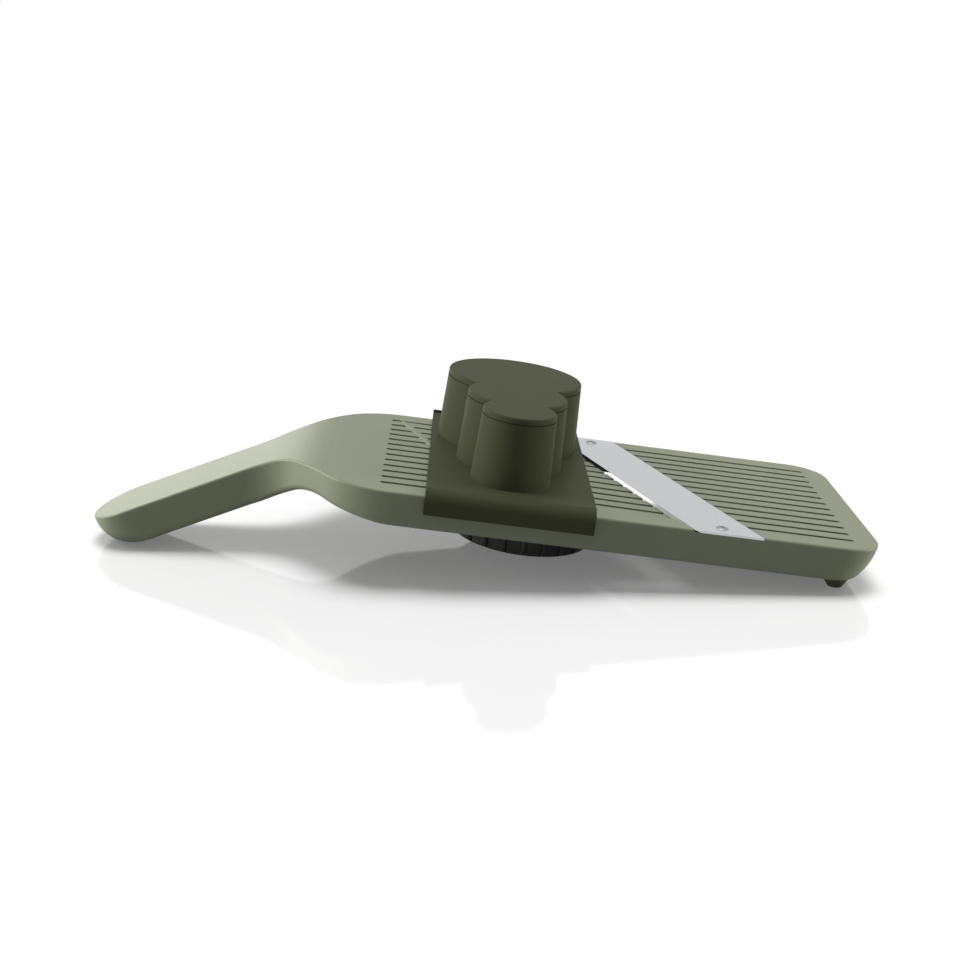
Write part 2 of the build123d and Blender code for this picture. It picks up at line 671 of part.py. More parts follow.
def blade_screws():
    screw = pan_screw(BLADE_SCREW)
    return [Location((u, v, 0)) * screw for u, v in blade_screw_places()]


def blade_inserts():
    top = -BLADE_THICK - INSERT_SINK
    sleeve = drum(INSERT_RADIUS, -INSERT_LENGTH, 0) - drum(BLADE_SCREW[0] + THREAD_GAP, -FAR / 8, 1)
    return [Location((u, v, top)) * sleeve for u, v in blade_screw_places()]


# ---- ramp ----
def tilted(shape):
    """Turns a piece of the ramp about the hinge to its rest setting."""
    axis = Axis((HINGE_N, 0, HINGE_W), (0, 1, 0))
    return SKEWED * ((SKEWED.inverse() * shape).rotate(axis, REST_TILT))


def follower_axis():
    """Distance from the dial's axis to the inner and outer face of the follower post."""
    inner = CAM_RADIUS + POST_GAP
    return inner, inner + POST_THICK


def ramp():
    plate = skew_band(HINGE_N, RAMP_END_N, RAMP_HALF, -RAMP_THICK, 0)
    barrel = skew_rod(BARREL_RADIUS, HINGE_N, HINGE_W, RAMP_HALF)
    rib_low = -RAMP_THICK - RIB_DEPTH
    for side in (-1, 1):
        v = side * RAMP_RIB_OUT
        start = on_skew_line(HINGE_N + BARREL_RADIUS, v)
        end = on_skew_line(RAMP_END_N - RIB_THICK, v)
        plate += block(start, end, v - RIB_THICK / 2, v + RIB_THICK / 2, rib_low, -RAMP_THICK)
    cross = RAMP_END_N - 2 * RIB_THICK
    plate += skew_band(cross, cross + RIB_THICK, RAMP_RIB_OUT, rib_low, -RAMP_THICK)
    inner, outer = follower_axis()
    dial_n = DIAL_AT * cos(radians(SKEW))
    dial_m = -DIAL_AT * sin(radians(SKEW))
    post = block(
        dial_n + inner,
        dial_n + outer,
        dial_m - POST_WIDTH / 2,
        dial_m + POST_WIDTH / 2,
        FOLLOWER_W - POST_TOE,
        -RAMP_THICK,
    )
    plate = plate + barrel + SKEWED * post
    plate -= skew_rod(PIN_RADIUS + PIN_GAP, HINGE_N, HINGE_W, PLATE_HALF)
    for v in groove_lines()[1:-1]:
        start = on_skew_line(HINGE_N + BARREL_RADIUS, v)
        plate -= groove(start, on_skew_line(RAMP_END_N, v) + GROOVE_PITCH, v, -GROOVE_DEPTH)
    plate -= follower_rod(FOLLOWER_RADIUS + SEAT_GAP, inner - 1, outer + 1)
    return tilted(plate)


def follower_rod(radius, start, end):
    """Rod on the follower's axis, from one distance to another from the dial's axis."""
    dial_n = DIAL_AT * cos(radians(SKEW))
    dial_m = -DIAL_AT * sin(radians(SKEW))
    place = Location((dial_n + (start + end) / 2, dial_m, FOLLOWER_W)) * Rotation(0, 90, 0)
    return SKEWED * place * Cylinder(radius, end - start)


def ramp_follower_pin():
    outer = follower_axis()[1]
    return tilted(follower_rod(FOLLOWER_RADIUS, CAM_RADIUS - FOLLOWER_REACH, outer))


def ramp_hinge_pin():
    return skew_rod(PIN_RADIUS, HINGE_N, HINGE_W, WINDOW_HALF + PIN_SEAT)


# ---- carrier and dial ----
def dial_carrier():
    """Dish that holds the dial, with two arms along the hinge that are screwed under the plate."""
    low = CARRIER_TOP - CARRIER_THICK
    middle = DIAL_AT * cos(radians(SKEW))
    reach = PLATE_HALF - WALL - CARRIER_END_GAP
    arms = skew_band(middle - CARRIER_HALF, middle + CARRIER_HALF, reach, low, CARRIER_TOP)
    dish = drum(DISH_RADIUS + DISH_WALL, DISH_BOTTOM, CARRIER_TOP, DIAL_AT)
    carrier = arms + dish - drum(DISH_RADIUS, DISH_TOP_FACE, 0, DIAL_AT)
    carrier -= drum(BEARING_RADIUS + BEARING_GAP, -FAR / 4, 0, DIAL_AT)
    for u, v in carrier_screw_places():
        carrier -= drum(CARRIER_SCREW[0] + SCREW_PLAY, -FAR / 4, 0, u, v)
    return carrier


def carrier_screws():
    screw = upside_down(pan_screw(CARRIER_SCREW))
    low = CARRIER_TOP - CARRIER_THICK
    return [Location((u, v, low)) * screw for u, v in carrier_screw_places()]


def dial_screw_hole():
    return drum(DIAL_SCREW[0] + THREAD_GAP, CAM_HUB_TOP + WASHER_THICK - DIAL_SCREW[3] - 1, 0, DIAL_AT)


def drive(gap):
    """Round shaft with one flat, which turns the drum."""
    shaft = drum(DRIVE_RADIUS + gap, CAM_BOTTOM, CAM_HUB_TOP - DRIVE_SHORT + gap, DIAL_AT)
    return shaft - block(DIAL_AT + DRIVE_FLAT + gap, FAR, -FAR, FAR, -FAR, 0)


def dial_knob():
    """Cup with grip ribs, and the bearing boss that passes up through the dish."""
    rim = DIAL_RADIUS - DIAL_RIB_RADIUS
    knob = drum(rim, DIAL_BOTTOM, DIAL_TOP)
    for place in PolarLocations(rim, DIAL_RIB_COUNT, start_angle=FULL_TURN / DIAL_RIB_COUNT / 2):
        knob += place * drum(DIAL_RIB_RADIUS, DIAL_BOTTOM, DIAL_TOP)
    envelope = drum(DIAL_RADIUS, DIAL_BOTTOM, DIAL_TOP)
    lower = [e for e in envelope.edges() if abs(e.center().Z - DIAL_BOTTOM) < 0.01]
    knob &= fillet(lower, DIAL_ROUND)
    knob -= drum(rim - DIAL_WALL, DIAL_BOTTOM + DIAL_FLOOR, 0)
    knob += drum(BEARING_RADIUS, DIAL_BOTTOM + DIAL_FLOOR / 2, CAM_BOTTOM)
    return Location((DIAL_AT, 0, 0)) * knob + drive(0) - dial_screw_hole()


def helical_groove():
    """Cutter of the drum's groove. The follower rides down it as the dial is turned on."""
    fall = FOLLOWER_TRAVEL / (DIAL_BACK + DIAL_ON)
    start = SKEW - DIAL_ON
    rest = HINGE_W + (FOLLOWER_W - HINGE_W) * cos(radians(REST_TILT)) - FOLLOWER_N * sin(radians(REST_TILT))
    low = rest - fall * DIAL_ON
    turn = DIAL_ON + DIAL_BACK
    path_radius = CAM_RADIUS - GROOVE_ROOT / 2
    path = Helix(pitch=fall * FULL_TURN, height=fall * turn, radius=path_radius)
    half = FOLLOWER_RADIUS + FACE_GAP
    reach = GROOVE_ROOT + 2
    across = Plane(path @ 0, x_dir=(1, 0, 0), z_dir=path % 0)
    section = across * Location((1, 0)) * Rectangle(reach, 2 * half)
    cutter = sweep(section, path=path, is_frenet=True)
    for share, angle in ((0, 0), (1, turn)):
        height = fall * turn * share
        end = Location((path_radius + 1, 0, height)) * Rotation(0, 90, 0) * Cylinder(half, reach)
        cutter += Rotation(0, 0, angle) * end
    return Location((DIAL_AT, 0, low)) * Rotation(0, 0, start) * cutter


def dial_cam():
    """Drum that turns with the knob and moves the follower along its helical groove."""
    wheel = drum(CAM_RADIUS, CAM_BOTTOM, CAM_TOP) - drum(CAM_BORE, CAM_BOTTOM + CAM_FLOOR, 0)
    wheel += drum(CAM_HUB, CAM_BOTTOM, CAM_HUB_TOP)
    wheel = Location((DIAL_AT, 0, 0)) * wheel
    wheel -= drive(BEARING_GAP)
    wheel -= drum(DIAL_SCREW[0] + SCREW_PLAY, -FAR / 4, 0, DIAL_AT)
    return wheel - helical_groove()


def dial_washer():
    ring = drum(WASHER_RADIUS, 0, WASHER_THICK) - drum(DIAL_SCREW[0] + SCREW_PLAY, -1, FAR / 4)
    return Location((DIAL_AT, 0, CAM_HUB_TOP)) * ring


def dial_screw():
    return Location((DIAL_AT, 0, CAM_HUB_TOP + WASHER_THICK)) * pan_screw(DIAL_SCREW)


# ---- guard and pusher ----
def feed_tube():
    """The hole that runs down through the tower and the rails."""
    return lobed(rim_radii(TOWER_WALL), GUARD_LIFT - 1, TOWER_RIM, TUBE_DRAFT)


def guard():
    """Deck of the sliding hand guard, with the three-lobed tower that stands on it and on its rails."""
    deck = block(GUARD_START, GUARD_END, -RAIL_INNER, RAIL_INNER, GUARD_RELIEF, GUARD_TOP)
    tower = lobed(rim_radii(0), GUARD_RELIEF + 1, TOWER_RIM, TOWER_DRAFT)
    over_rails = block(GUARD_START, GUARD_END, RAIL_INNER, FAR, 0, GUARD_TOP)
    return deck + (tower - over_rails) - feed_tube()


def guard_rail(side, fold, lip=0.0):
    """Rail at one edge of the guard: a runner on the deck, a skirt beside the plate and a lip on top."""
    rail = block(GUARD_START, GUARD_END, RAIL_INNER, GUARD_HALF, -SKIRT_DEPTH, GUARD_TOP)
    if lip:
        inner = GUARD_HALF - LIP_THICK
        rail += block(GUARD_START, GUARD_END, inner, GUARD_HALF, GUARD_TOP - 1, GUARD_TOP + lip)
    outer = rail.edges().filter_by(Axis.X).group_by(Axis.Z)[-1].sort_by(Axis.Y)[-1]
    rail = fillet(outer, fold)
    rail -= block(-FAR, FAR, 0, SKIRT_INNER, -FAR, GUARD_LIFT)
    rail = rail if side > 0 else mirror(rail, about=Plane.XZ)
    return rail - feed_tube()


def pusher_screw_places():
    return [(TOWER_AT, v) for v, _ in LOBES]


def pusher_cap():
    """Lid in the tube's outline, with a small step under its rim and a boss over each lobe."""
    top = TOWER_RIM + CAP_THICK
    cap = lobed(rim_radii(0), TOWER_RIM + CAP_SEAM, top, TOWER_DRAFT, CAP_ROUND)
    cap += lobed(rim_radii(CAP_SEAM_INSET), TOWER_RIM, TOWER_RIM + 2 * CAP_SEAM, 0)
    floor = PLUNGER_BOTTOM + PLUNGER_FLOOR
    for u, v in pusher_screw_places():
        cap += drum(BOSS_RADIUS, floor, TOWER_RIM + CAP_SEAM, u, v)
        cap -= drum(PUSHER_SCREW[0] + THREAD_GAP, floor - 1, floor + PUSHER_SCREW[3], u, v)
    return cap


def plunger_spikes():
    """u and v of the spikes: a grid under the lobes, clear of the screws."""
    places = []
    steps = range(-8, 9)
    for i in steps:
        for j in steps:
            u, v = i * SPIKE_PITCH, (j + 0.5) * SPIKE_PITCH
            margin = TOWER_WALL + PLUNGER_GAP + SPIKE_MARGIN
            inside = any(hypot(u, v - middle) < radius - margin for middle, radius in LOBES)
            free = all(hypot(u, v - middle) > PUSHER_SCREW[1] + 2 * SPIKE_RADIUS for middle, _ in LOBES)
            if inside and free:
                places.append((TOWER_AT + u, v))
    return places


def pusher_plunger():
    inset = TOWER_WALL + PLUNGER_GAP
    cup = lobed(rim_radii(inset), PLUNGER_BOTTOM, TOWER_RIM, 0)
    cup -= lobed(rim_radii(inset + PLUNGER_WALL), PLUNGER_BOTTOM + PLUNGER_FLOOR, FAR / 4, 0)
    for u, v in pusher_screw_places():
        cup -= drum(PUSHER_SCREW[0] + SCREW_PLAY, 0, TOWER_RIM, u, v)
        cup -= drum(PUSHER_SCREW[1] + SCREW_PLAY, 0, PLUNGER_BOTTOM + PUSHER_SCREW[2], u, v)
    for u, v in plunger_spikes():
        cup -= drum(SPIKE_RADIUS + SEAT_GAP, 0, PLUNGER_BOTTOM + SPIKE_HOLD, u, v)
    return cup


def pusher_spikes():
    shank = drum(SPIKE_RADIUS, SPIKE_POINT - SPIKE_LENGTH, SPIKE_HOLD)
    point = Location((0, 0, SPIKE_POINT / 2 - SPIKE_LENGTH)) * Cone(SPIKE_TIP, SPIKE_RADIUS, SPIKE_POINT)
    return [Location((u, v, PLUNGER_BOTTOM)) * (shank + point) for u, v in plunger_spikes()]


def pusher_screws():
    screw = upside_down(pan_screw(PUSHER_SCREW))
    seat = PLUNGER_BOTTOM + PUSHER_SCREW[2]
    return [Location((u, v, seat)) * screw for u, v in pusher_screw_places()]


NODES = {
    "body": body,
    "handle_cover": handle_cover,
    "handle_cover_screws": handle_cover_screws,
    "handle_foot": handle_foot,
    "front_foot_near": lambda: front_foot(-1),
    "front_foot_far": lambda: front_foot(1),
    "blade": blade,
    "blade_screws": blade_screws,
    "blade_inserts": blade_inserts,
    "ramp": ramp,
    "ramp_hinge_pin": ramp_hinge_pin,
    "ramp_follower_pin": ramp_follower_pin,
    "dial_carrier": dial_carrier,
    "carrier_screws": carrier_screws,
    "dial_knob": dial_knob,
    "dial_cam": dial_cam,
    "dial_washer": dial_washer,
    "dial_screw": dial_screw,
    "guard": guard,
    "guard_rail_near": lambda: guard_rail(-1, FOLD_NEAR),
    "guard_rail_far": lambda: guard_rail(1, FOLD_FAR, LIP_RISE),
    "pusher_cap": pusher_cap,
    "pusher_plunger": pusher_plunger,
    "pusher_spikes": pusher_spikes,
    "pusher_screws": pusher_screws,
}


def main():
    os.makedirs("parts", exist_ok=True)
    pieces = {}
    for name, make in NODES.items():
        made = make()
        solids = made if isinstance(made, list) else [made]
        pieces[name] = [tilt_up(solid) for piece in solids for solid in piece.solids()]
    box = Compound(pieces["body"]).bounding_box()
    centre = Location((-(box.min.X + box.max.X) / 2, 0, 0))
    for name, solids in pieces.items():
        placed = [centre * solid for solid in solids]
        export_step(placed[0] if len(placed) == 1 else Compound(placed), f"parts/{name}.step")


main()
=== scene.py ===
"""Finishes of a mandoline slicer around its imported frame, its turned screws, and a white studio.

Lengths are in metres, as in the frame, unless a name ends in _mm.
"""

from __future__ import annotations

import logging
import math
from dataclasses import dataclass
from enum import Enum
from typing import Any

import bmesh
import bpy
from mathutils import Matrix, Vector


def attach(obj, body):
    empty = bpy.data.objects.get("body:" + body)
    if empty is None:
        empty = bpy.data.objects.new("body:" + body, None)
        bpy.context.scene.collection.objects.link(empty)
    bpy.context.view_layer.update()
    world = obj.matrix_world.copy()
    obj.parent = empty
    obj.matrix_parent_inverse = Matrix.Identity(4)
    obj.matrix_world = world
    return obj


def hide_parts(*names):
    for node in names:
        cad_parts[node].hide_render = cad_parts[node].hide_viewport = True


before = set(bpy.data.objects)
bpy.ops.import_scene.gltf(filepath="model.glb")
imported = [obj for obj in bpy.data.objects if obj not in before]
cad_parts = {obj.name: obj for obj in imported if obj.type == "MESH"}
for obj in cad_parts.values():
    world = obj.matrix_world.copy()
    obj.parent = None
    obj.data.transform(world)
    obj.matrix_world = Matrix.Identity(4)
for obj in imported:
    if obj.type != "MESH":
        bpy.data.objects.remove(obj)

MM = 0.001
# The values of a noise texture lie nearly all between these two.
NOISE_LOW, NOISE_HIGH = 0.3, 0.7
# The same for the noise with more detail that draws a tool's marks.
MARKS_LOW, MARKS_HIGH = 0.25, 0.75
# The sockets of a Mix node that is set to colours.
MIX_SHARE, MIX_FIRST, MIX_SECOND = 0, 6, 7
# Normals that agree to one part in this many count as one flat face.
FACE_STEPS = 50
# Vertices of a CAD node nearer than this are one vertex.
MERGE = MM / 100
# A turned screw closes its seam and its poles within this.
SEAM = MM / 1000
# How far the blade and the ramp's pins are turned from square across the deck.
BLADE_SKEW_DEG = 23.0

log = logging.getLogger("mandoline")
Colour = tuple[float, float, float, float]
WHITE: Colour = (1.0, 1.0, 1.0, 1.0)
Sockets = dict[str | int, Any]


def linear(code: str) -> Colour:
    """Turns a written colour into the values that a shader takes.

    Args:
        code: The colour as sRGB hex, such as "#7d816a".

    Returns:
        Linear red, green and blue, with an alpha of 1.
    """
    parts = [int(code[i : i + 2], 16) / 255 for i in (1, 3, 5)]
    red, green, blue = (p / 12.92 if p <= 0.04045 else ((p + 0.055) / 1.055) ** 2.4 for p in parts)
    return (red, green, blue, 1.0)


def per_metre(size_mm: float) -> float:
    """Returns the pattern scale at which one cell of a noise is that many millimetres wide."""
    return 1.0 / (size_mm * MM)


def add_node(
    tree: bpy.types.NodeTree, kind: str, inputs: Sockets | None = None, **settings: Any
) -> bpy.types.Node:
    """Adds a node with its settings, its values and its links.

    Args:
        tree: The node tree that gets the node.
        kind: The node's class, such as "ShaderNodeTexNoise".
        inputs: Socket name or number to a value, or to an output socket that is linked to it.
        **settings: Properties of the node, such as operation="MULTIPLY".

    Returns:
        The new node.
    """
    node = tree.nodes.new(kind)
    for name, value in settings.items():
        setattr(node, name, value)
    for key, value in (inputs or {}).items():
        if isinstance(value, bpy.types.NodeSocket):
            tree.links.new(value, node.inputs[key])
        else:
            node.inputs[key].default_value = value
    return node


def blank_material(name: str) -> tuple[bpy.types.Material, bpy.types.NodeTree]:
    """Makes a material whose node tree is empty.

    Args:
        name: The material's name.

    Returns:
        The material and its node tree.
    """
    material = bpy.data.materials.new(name)
    material.use_nodes = True
    material.node_tree.nodes.clear()
    return material, material.node_tree


def close_material(tree: bpy.types.NodeTree, shader: bpy.types.Node) -> None:
    """Links a shader to a new material output."""
    add_node(tree, "ShaderNodeOutputMaterial", {"Surface": shader.outputs[0]})


class Texture(Enum):
    """How a mould was finished: the grain's width and height in mm, and its share of matting."""

    SPARK_ERODED = (0.42, 0.014, 0.10)
    FINE_SPARK = (0.34, 0.008, 0.07)
    DRAW_POLISHED = (1.6, 0.004, 0.04)

    @property
    def grain_mm(self) -> float:
        """Width of one grain."""
        return self.value[0]

    @property
    def height_mm(self) -> float:
        """Height of the grain."""
        return self.value[1]

    @property
    def matting(self) -> float:
        """How much the grain changes the roughness."""
        return self.value[2]


@dataclass(frozen=True)
class MouldedPlastic:
    """Injection-moulded plastic: one pigment, a gloss set by the mould, and faint flow marks.

    The real grain is about 0.05 mm, too fine to show, so it is drawn some times coarser.
    """

    name: str
    colour: str
    flow_colour: str
    roughness: float
    gloss: float
    texture: Texture
    flow_mm: float = 38.0
    flow_share: float = 0.35
    grain_strength: float = 0.6
    ior: float = 1.5

    def material(self) -> bpy.types.Material:
        """Builds the plastic's material.

        Returns:
            The finished material.
        """
        material, tree = blank_material(self.name)
        place = add_node(tree, "ShaderNodeTexCoord").outputs["Object"]
        flow = add_node(
            tree,
            "ShaderNodeTexNoise",
            {"Vector": place, "Scale": per_metre(self.flow_mm), "Detail": 2.0},
        )
        share = add_node(
            tree,
            "ShaderNodeMapRange",
            {
                "Value": flow.outputs["Fac"],
                "From Min": NOISE_LOW,
                "From Max": NOISE_HIGH,
                "To Max": self.flow_share,
            },
        )
        tint = add_node(
            tree,
            "ShaderNodeMix",
            {
                MIX_SHARE: share.outputs[0],
                MIX_FIRST: linear(self.colour),
                MIX_SECOND: linear(self.flow_colour),
            },
            data_type="RGBA",
        )
        grain = add_node(
            tree,
            "ShaderNodeTexNoise",
            {
                "Vector": place,
                "Scale": per_metre(self.texture.grain_mm),
                "Detail": 3.0,
                "Roughness": 0.6,
            },
        )
        matting = add_node(
            tree,
            "ShaderNodeMapRange",
            {
                "Value": grain.outputs["Fac"],
                "From Min": NOISE_LOW,
                "From Max": NOISE_HIGH,
                "To Min": self.roughness - self.texture.matting / 2,
                "To Max": self.roughness + self.texture.matting / 2,
            },
        )
        bump = add_node(
            tree,
            "ShaderNodeBump",
            {
                "Height": grain.outputs["Fac"],
                "Strength": self.grain_strength,
                "Distance": self.texture.height_mm * MM,
            },
        )
        shader = add_node(
            tree,
            "ShaderNodeBsdfPrincipled",
            {
                "Base Color": tint.outputs[2],
                "Roughness": matting.outputs[0],
                "Normal": bump.outputs[0],
                "Specular IOR Level": self.gloss,
                "IOR": self.ior,
            },
        )
        close_material(tree, shader)
        return material


class Working(Enum):
    """How a metal was worked, as how far its marks run in mm along X, Y and Z."""

    GROUND_ALONG = (0.30, 60.0, 60.0)
    TURNED = (0.12, 0.12, 0.12)
    DRAWN = (0.15, 6.0, 0.15)


@dataclass(frozen=True)
class WorkedMetal:
    """Bare metal with the fine marks of the tool that worked it."""

    name: str
    colour: str
    mark_colour: str
    roughness: float
    working: Working
    mark_height_mm: float = 0.004
    turn_deg: float = 0.0
    mark_strength: float = 0.5
    roughness_swing: float = 1.25

    def material(self) -> bpy.types.Material:
        """Builds the metal's material.

        Returns:
            The finished material.
        """
        material, tree = blank_material(self.name)
        place = add_node(tree, "ShaderNodeTexCoord").outputs["Object"]
        turned = add_node(
            tree,
            "ShaderNodeMapping",
            {"Vector": place, "Rotation": (0.0, 0.0, math.radians(self.turn_deg))},
        )
        runs = tuple(per_metre(run) for run in self.working.value)
        scaled = add_node(tree, "ShaderNodeMapping", {"Vector": turned.outputs[0], "Scale": runs})
        marks = add_node(
            tree,
            "ShaderNodeTexNoise",
            {"Vector": scaled.outputs[0], "Scale": 1.0, "Detail": 4.0, "Roughness": 0.65},
        )
        tint = add_node(
            tree,
            "ShaderNodeMix",
            {
                MIX_SHARE: marks.outputs["Fac"],
                MIX_FIRST: linear(self.colour),
                MIX_SECOND: linear(self.mark_colour),
            },
            data_type="RGBA",
        )
        matting = add_node(
            tree,
            "ShaderNodeMapRange",
            {
                "Value": marks.outputs["Fac"],
                "From Min": MARKS_LOW,
                "From Max": MARKS_HIGH,
                "To Min": self.roughness / self.roughness_swing,
                "To Max": self.roughness * self.roughness_swing,
            },
        )
        bump = add_node(
            tree,
            "ShaderNodeBump",
            {
                "Height": marks.outputs["Fac"],
                "Strength": self.mark_strength,
                "Distance": self.mark_height_mm * MM,
            },
        )
        shader = add_node(
            tree,
            "ShaderNodeBsdfPrincipled",
            {
                "Base Color": tint.outputs[2],
                "Metallic": 1.0,
                "Roughness": matting.outputs[0],
                "Normal": bump.outputs[0],
            },
        )
        close_material(tree, shader)
        return material


# Matte polypropylene of the housing: soft light on its flats and a pale sheen at grazing angles.
SAGE_PLASTIC = MouldedPlastic(
    "sage_moulded_plastic", "#777d67", "#7b816b", 0.42, 0.22, Texture.SPARK_ERODED
)
# Darker, matte plastic of the guard and the pusher: it shades softly round the lobes and hardly
# shines.
OLIVE_PLASTIC = MouldedPlastic(
    "olive_moulded_plastic", "#414332", "#454736", 0.50, 0.02, Texture.FINE_SPARK
)
# Black acetal of the dial and its carrier, from a polished mould: it shines a little.
BLACK_PLASTIC = MouldedPlastic(
    "black_acetal", "#232420", "#262723", 0.38, 0.28, Texture.DRAW_POLISHED
)
# Grey-green thermoplastic rubber of the feet: nearly no gloss.
FOOT_RUBBER = MouldedPlastic(
    "foot_rubber", "#5f6153", "#595b4d", 0.72, 0.15, Texture.SPARK_ERODED, 9.0
)
# Cold-rolled stainless strip, ground along the edge: a bright, even, satin grey.
BLADE_STEEL = WorkedMetal(
    "ground_stainless", "#bdbec0", "#b4b5b7", 0.32, Working.GROUND_ALONG, turn_deg=-BLADE_SKEW_DEG
)
# Turned and tumbled steel of the screws: a mid grey with a broad, soft light.
SCREW_STEEL = WorkedMetal("turned_steel", "#8b8d8f", "#7f8183", 0.42, Working.TURNED)
# Drawn steel of the pins, the spikes and the dial's washer: bright, with fine streaks.
PIN_STEEL = WorkedMetal(
    "drawn_steel", "#b4b6b8", "#a6a8aa", 0.24, Working.DRAWN, turn_deg=-BLADE_SKEW_DEG
)
# Free-cutting brass of the threaded inserts: a warm yellow with a soft shine.
INSERT_BRASS = WorkedMetal("turned_brass", "#b98f4a", "#a67e3e", 0.30, Working.TURNED)


def dress(finish: MouldedPlastic | WorkedMetal, *names: str) -> None:
    """Gives CAD nodes a finish.

    Args:
        finish: The finish.
        *names: The nodes' names.
    """
    material = finish.material()
    for name in names:
        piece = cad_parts[name]
        for place in piece.material_slots:
            place.material = material
        log.info("%s is finished in %s", name, finish.name)


def tilt_of(node: str) -> Vector:
    """Finds which way a flat node faces, as the upward normal of its largest flat side.

    Args:
        node: A CAD node's name.

    Returns:
        The unit normal.
    """
    sums: dict[tuple[int, int, int], Vector] = {}
    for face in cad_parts[node].data.polygons:
        key = tuple(round(part * FACE_STEPS) for part in face.normal)
        sums[key] = sums.get(key, Vector()) + face.normal * face.area
    upward = [total for total in sums.values() if total.z > 0]
    return max(upward, key=lambda total: total.length).normalized()


@dataclass(frozen=True)
class ScrewSet:
    """Pan-headed screws that stand for one CAD node, one at each of the node's solids."""

    node: str
    body: str
    head_radius_mm: float
    head_height_mm: float
    shank_radius_mm: float
    length_mm: float
    pitch_mm: float = 0.9
    # Angles, in radians, at which the head's crown gets a ring of vertices.
    crown_angles: tuple[float, ...] = (0.0, 0.5, 0.85, 1.1, 1.3)
    rim_share: float = 0.82
    plain_shank_mm: float = 0.3
    point_mm: float = 1.2
    root_share: float = 0.8
    # Where the root of each turn of the thread starts and ends, as shares of the pitch.
    root_span: tuple[float, float] = (0.4, 0.6)
    point_share: float = 0.6
    segments: int = 32
    recess_share: float = 0.62
    recess_width_mm: float = 0.55
    recess_depth_mm: float = 0.75
    # How far the foot of the recess shrinks along and across a bar of the cross.
    recess_taper: tuple[float, float, float] = (0.45, 0.7, 1.0)
    # No two screws stop at the same angle.
    first_turn_deg: float = 27.0
    next_turn_deg: float = 41.0

    def build(self, axis: Vector, finish: bpy.types.Material) -> None:
        """Makes the screws as one piece and lets it stand for the node.

        Args:
            axis: The direction from a screw's tip to its head.
            finish: The screws' material.
        """
        screw = self.screw_mesh()
        whole = bmesh.new()
        upright = axis.to_track_quat("Z", "Y").to_matrix().to_4x4()
        tops = self.head_tops(axis)
        for number, top in enumerate(tops):
            angle = math.radians(self.first_turn_deg + self.next_turn_deg * number)
            place = Matrix.Translation(top) @ upright @ Matrix.Rotation(angle, 4, "Z")
            copy = screw.copy()
            copy.transform(place)
            whole.from_mesh(copy)
            bpy.data.meshes.remove(copy)
        mesh = bpy.data.meshes.new(self.node + "_turned")
        whole.to_mesh(mesh)
        whole.free()
        bpy.data.meshes.remove(screw)
        mesh.materials.append(finish)
        piece = bpy.data.objects.new(self.node + "_turned", mesh)
        bpy.context.scene.collection.objects.link(piece)
        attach(piece, self.body)
        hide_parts(self.node)
        log.info("%s has %d screws", piece.name, len(tops))

    def head_tops(self, axis: Vector) -> list[Vector]:
        """Finds the middle of the top of each screw's head in the CAD node.

        Args:
            axis: The direction from a screw's tip to its head.

        Returns:
            One point for each solid of the node.
        """
        work = bmesh.new()
        work.from_mesh(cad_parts[self.node].data)
        bmesh.ops.remove_doubles(work, verts=work.verts, dist=MERGE)
        tops = []
        left = set(work.verts)
        while left:
            solid = {left.pop()}
            rim = set(solid)
            while rim:
                near = {edge.other_vert(vert) for vert in rim for edge in vert.link_edges}
                rim = near - solid
                solid |= near
            left -= solid
            across = [vert.co - axis * vert.co.dot(axis) for vert in solid]
            low = Vector([min(point[i] for point in across) for i in range(3)])
            high = Vector([max(point[i] for point in across) for i in range(3)])
            reach = max(vert.co.dot(axis) for vert in solid)
            line = (low + high) / 2
            tops.append(line - axis * line.dot(axis) + axis * reach)
        work.free()
        return sorted(tops, key=lambda point: (point.x, point.y))

    def screw_mesh(self) -> bpy.types.Mesh:
        """Turns one screw with its head's top at the origin, and sinks a cross recess in it.

        Returns:
            The mesh of one screw.
        """
        work = bmesh.new()
        outline = [work.verts.new((out * MM, 0.0, up * MM)) for out, up in self.outline()]
        edges = [work.edges.new(pair) for pair in zip(outline, outline[1:])]
        bmesh.ops.spin(
            work,
            geom=outline + edges,
            cent=(0.0, 0.0, 0.0),
            axis=(0.0, 0.0, 1.0),
            angle=math.tau,
            steps=self.segments,
            use_merge=True,
        )
        bmesh.ops.remove_doubles(work, verts=work.verts, dist=SEAM)
        bmesh.ops.recalc_face_normals(work, faces=work.faces)
        mesh = bpy.data.meshes.new(self.node + "_one")
        work.to_mesh(mesh)
        work.free()
        return self.recessed(mesh)

    def outline(self) -> list[tuple[float, float]]:
        """Returns the screw's half section as radius and height, from the head's top to the tip."""
        radius, height, shank = self.head_radius_mm, self.head_height_mm, self.shank_radius_mm
        line = [(radius * math.sin(a), height * (math.cos(a) - 1)) for a in self.crown_angles]
        line += [(radius, -self.rim_share * height), (radius, -height)]
        depth = -height - self.plain_shank_mm
        line += [(shank, -height), (shank, depth)]
        tip = -height - self.length_mm
        root = shank * self.root_share
        while depth - self.pitch_mm > tip + self.point_mm:
            line += [(root, depth - self.pitch_mm * share) for share in self.root_span]
            depth -= self.pitch_mm
            line.append((shank, depth))
        line += [(shank * self.point_share, tip + self.plain_shank_mm), (0.0, tip)]
        return line

